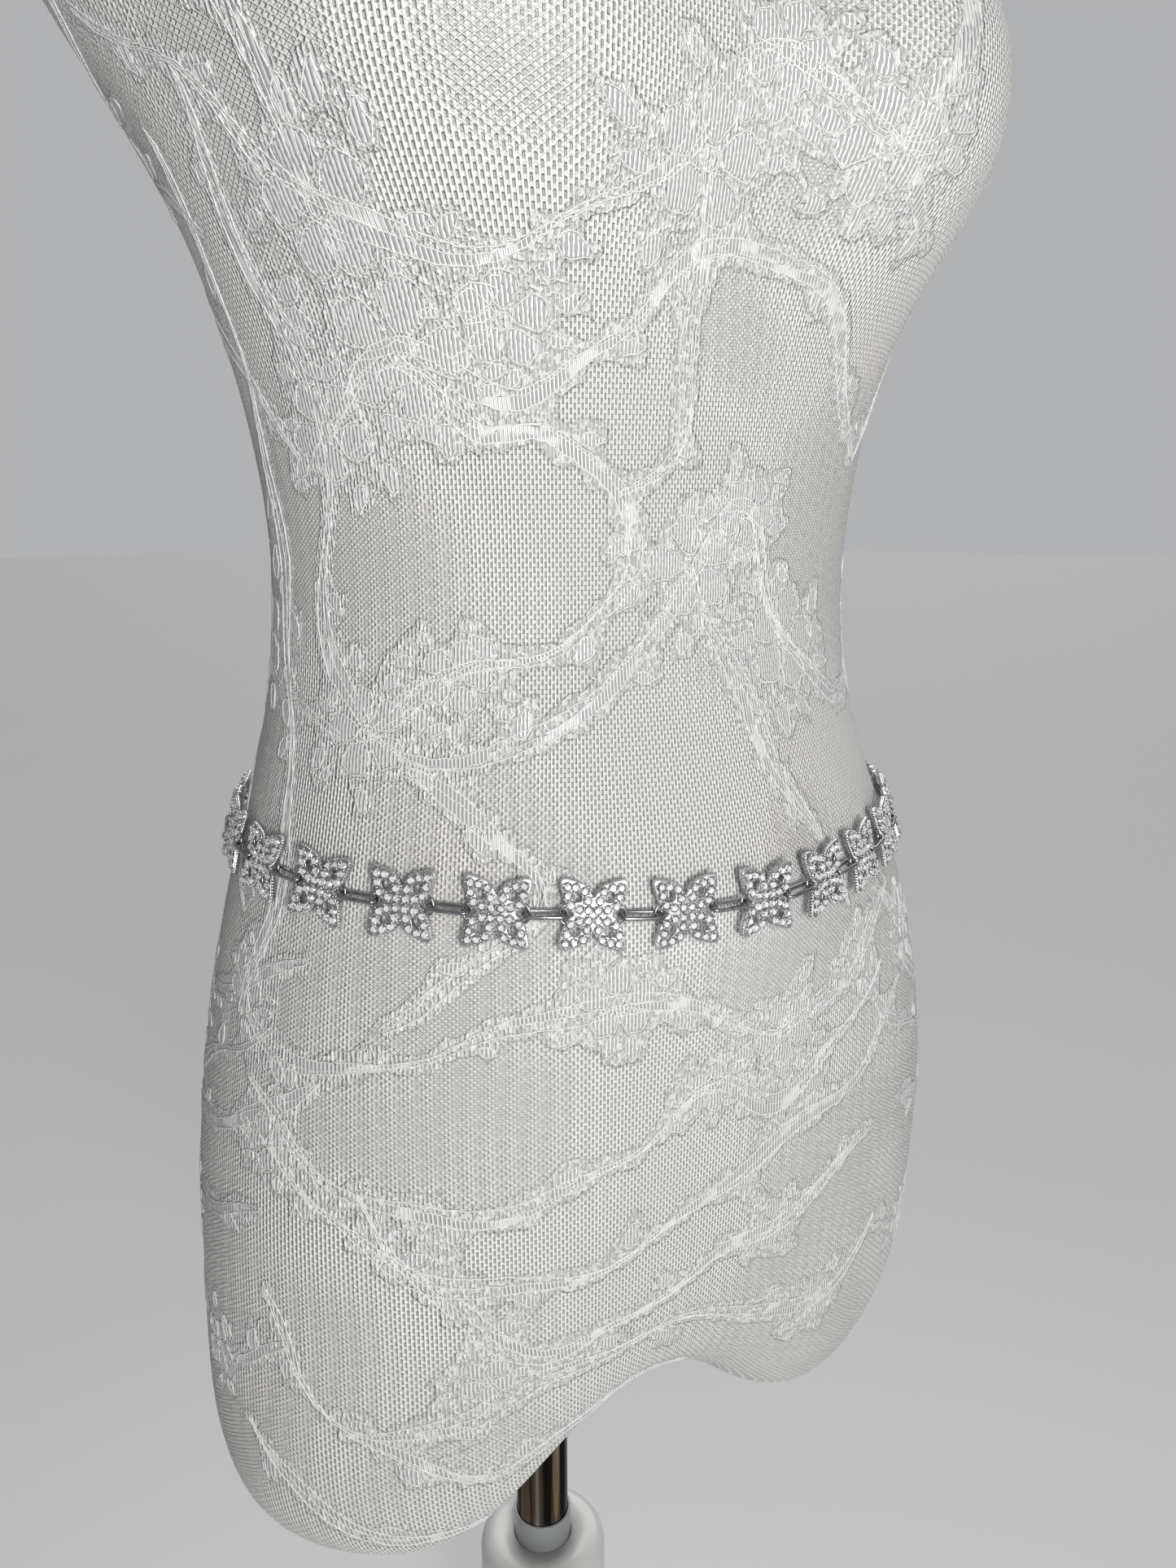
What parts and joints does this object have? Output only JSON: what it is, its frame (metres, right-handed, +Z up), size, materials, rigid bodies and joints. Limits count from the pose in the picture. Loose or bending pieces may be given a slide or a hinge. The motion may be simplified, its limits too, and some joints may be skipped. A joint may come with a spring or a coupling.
{
  "type": "rhinestone chain belt on a limbless dress form with a pole stand",
  "caption": "Silver-tone rhinestone chain belt of cut-out flower links and oval rings around the hips of a lace-covered limbless dress form, on a pole with a round base.",
  "frame": {"origin": "centre of the base's underside, on the pole's axis", "axes": "+Z up along the pole, -Y the way the dress form faces, +X toward the form's left side"},
  "size_m": [0.4, 0.4, 1.219],
  "materials": {
    "link_metal": "polished silver-tone casting set with clear round stones",
    "ring_metal": "polished dark silver-tone wire",
    "hook_metal": "polished silver-tone wire",
    "form_cover": "white knit under stretch floral lace",
    "pole_chrome": "mirror polished",
    "sleeve_plastic": "glossy grey",
    "hub_plastic": "glossy white",
    "column_paint": "satin white",
    "base_paint": "satin white"
  },
  "bodies": {
    "stand": {"base": "base_paint", "column": "column_paint", "hub": "hub_plastic", "sleeve": "sleeve_plastic"},
    "mast": {"pole": "pole_chrome", "dress_form": "form_cover", "back_hook": "hook_metal", "link_01": "link_metal", "link_02": "link_metal", "link_03": "link_metal", "link_04": "link_metal", "link_05": "link_metal", "link_06": "link_metal", "link_07": "link_metal", "link_08": "link_metal", "link_09": "link_metal", "link_10": "link_metal", "link_11": "link_metal", "link_12": "link_metal", "link_13": "link_metal", "link_14": "link_metal", "link_15": "link_metal", "link_16": "link_metal", "link_17": "link_metal", "link_18": "link_metal", "link_19": "link_metal", "link_20": "link_metal", "link_21": "link_metal", "link_22": "link_metal", "link_23": "link_metal", "link_24": "link_metal", "ring_01": "ring_metal", "ring_02": "ring_metal", "ring_03": "ring_metal", "ring_04": "ring_metal", "ring_05": "ring_metal", "ring_06": "ring_metal", "ring_07": "ring_metal", "ring_08": "ring_metal", "ring_09": "ring_metal", "ring_10": "ring_metal", "ring_11": "ring_metal", "ring_12": "ring_metal", "ring_13": "ring_metal", "ring_14": "ring_metal", "ring_15": "ring_metal", "ring_16": "ring_metal", "ring_17": "ring_metal", "ring_18": "ring_metal", "ring_19": "ring_metal", "ring_20": "ring_metal", "ring_21": "ring_metal", "ring_22": "ring_metal", "ring_23": "ring_metal", "ring_24": "ring_metal", "ring_25": "ring_metal"}
  },
  "joints": [
    {"name": "height_slide", "type": "slide", "parent": "stand", "child": "mast", "axis": [0, 0, 1], "range_m": [-0.06, 0.15]}
  ]
}
